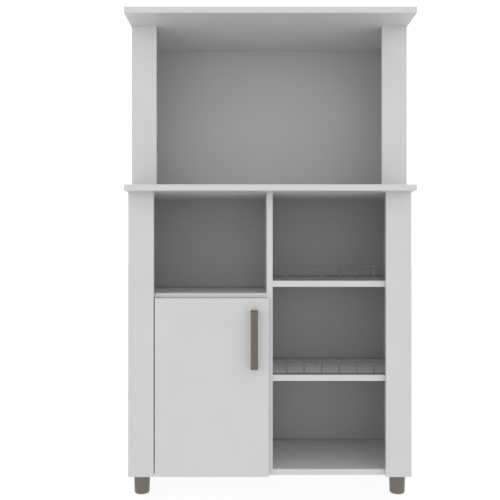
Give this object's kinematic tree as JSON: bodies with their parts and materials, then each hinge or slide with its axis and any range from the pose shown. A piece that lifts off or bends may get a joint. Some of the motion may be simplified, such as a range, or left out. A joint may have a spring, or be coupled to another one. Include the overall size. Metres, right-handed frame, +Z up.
{
  "type": "microwave cabinet",
  "caption": "Free-standing kitchen cabinet: a hinged cupboard and open racks with wire rails under a worktop, and an open hutch for a microwave oven above it.",
  "frame": {"origin": "on the floor, under the middle of the cabinet's outline seen from above", "axes": "+Z up, -Y out of the cabinet's front, +X to the right of someone facing the front"},
  "size_m": [0.84, 0.395, 1.419],
  "materials": {
    "white_laminate": "white melamine-faced chipboard, fine orange-peel texture, satin",
    "back_hardboard": "white-lacquered hardboard, satin, a little greyer than the boards",
    "taupe_plastic": "taupe moulded plastic, satin",
    "taupe_wire": "taupe powder-coated steel wire",
    "hinge_steel": "nickel-plated pressed steel",
    "fitting_steel": "zinc-plated steel",
    "beech": "bare beech",
    "clear_pad": "clear soft pad"
  },
  "bodies": {
    "carcass": {"top_board": "white_laminate", "worktop": "white_laminate", "bottom_board": "white_laminate", "hutch_side_left": "white_laminate", "hutch_side_right": "white_laminate", "lower_side_left": "white_laminate", "lower_side_right": "white_laminate", "hutch_trim_left": "white_laminate", "hutch_trim_right": "white_laminate", "lower_trim_left": "white_laminate", "lower_trim_right": "white_laminate", "centre_divider": "white_laminate", "fixed_shelf": "white_laminate", "upper_rack_shelf": "white_laminate", "lower_rack_shelf": "white_laminate", "loose_shelf": "white_laminate", "hinge_batten": "white_laminate", "hutch_back": "back_hardboard", "cupboard_back": "back_hardboard", "rack_back": "back_hardboard", "upper_hinge_arm": "hinge_steel", "lower_hinge_arm": "hinge_steel", "upper_hinge_plate": "hinge_steel", "lower_hinge_plate": "hinge_steel", "plate_screws": "fitting_steel", "arm_screws": "fitting_steel", "upper_wire_rail": "taupe_wire", "lower_wire_rail": "taupe_wire", "front_left_leg": "taupe_plastic", "front_right_leg": "taupe_plastic", "rear_left_leg": "taupe_plastic", "rear_right_leg": "taupe_plastic", "leg_screws": "fitting_steel", "shelf_pins": "fitting_steel", "cam_locks": "fitting_steel", "cam_bolts": "fitting_steel", "wood_dowels": "beech", "back_nails": "fitting_steel"},
    "door_leaf": {"door": "white_laminate", "door_handle": "taupe_plastic", "handle_screws": "fitting_steel", "door_bumpers": "clear_pad", "upper_hinge_cup": "hinge_steel", "lower_hinge_cup": "hinge_steel", "hinge_pins": "fitting_steel", "cup_screws": "fitting_steel"}
  },
  "joints": [
    {"name": "door_swing", "type": "hinge", "parent": "carcass", "child": "door_leaf", "pos_m": [-0.321, -0.1315, 0.317], "axis": [0, 0, -1], "range_deg": [0, 95]}
  ]
}
